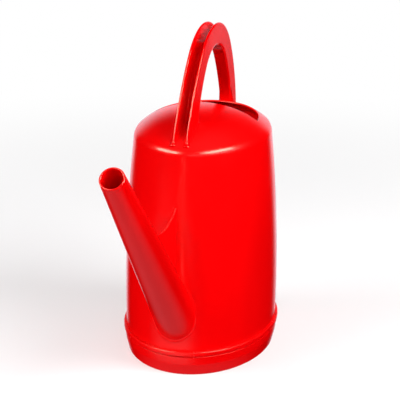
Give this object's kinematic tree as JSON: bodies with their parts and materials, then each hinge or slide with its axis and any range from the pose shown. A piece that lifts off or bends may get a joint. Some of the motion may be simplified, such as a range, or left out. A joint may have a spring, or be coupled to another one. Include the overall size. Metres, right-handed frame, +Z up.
{
  "type": "watering can",
  "caption": "Tall oval plastic watering can with a domed top, a fill opening, a channel-section bow handle and a long tapered spout with an open mouth.",
  "frame": {"origin": "centre of the underside of the base", "axes": "+Z up, +X towards the spout's mouth, +Y to the can's left seen from behind the handle"},
  "size_m": [0.4839, 0.2, 0.4239],
  "materials": {
    "red_plastic": "moulded, satin gloss"
  },
  "bodies": {
    "root": {"body_shell": "red_plastic", "base_pan": "red_plastic", "pouring_spout": "red_plastic", "spout_web": "red_plastic", "bow_handle": "red_plastic"}
  },
  "joints": []
}
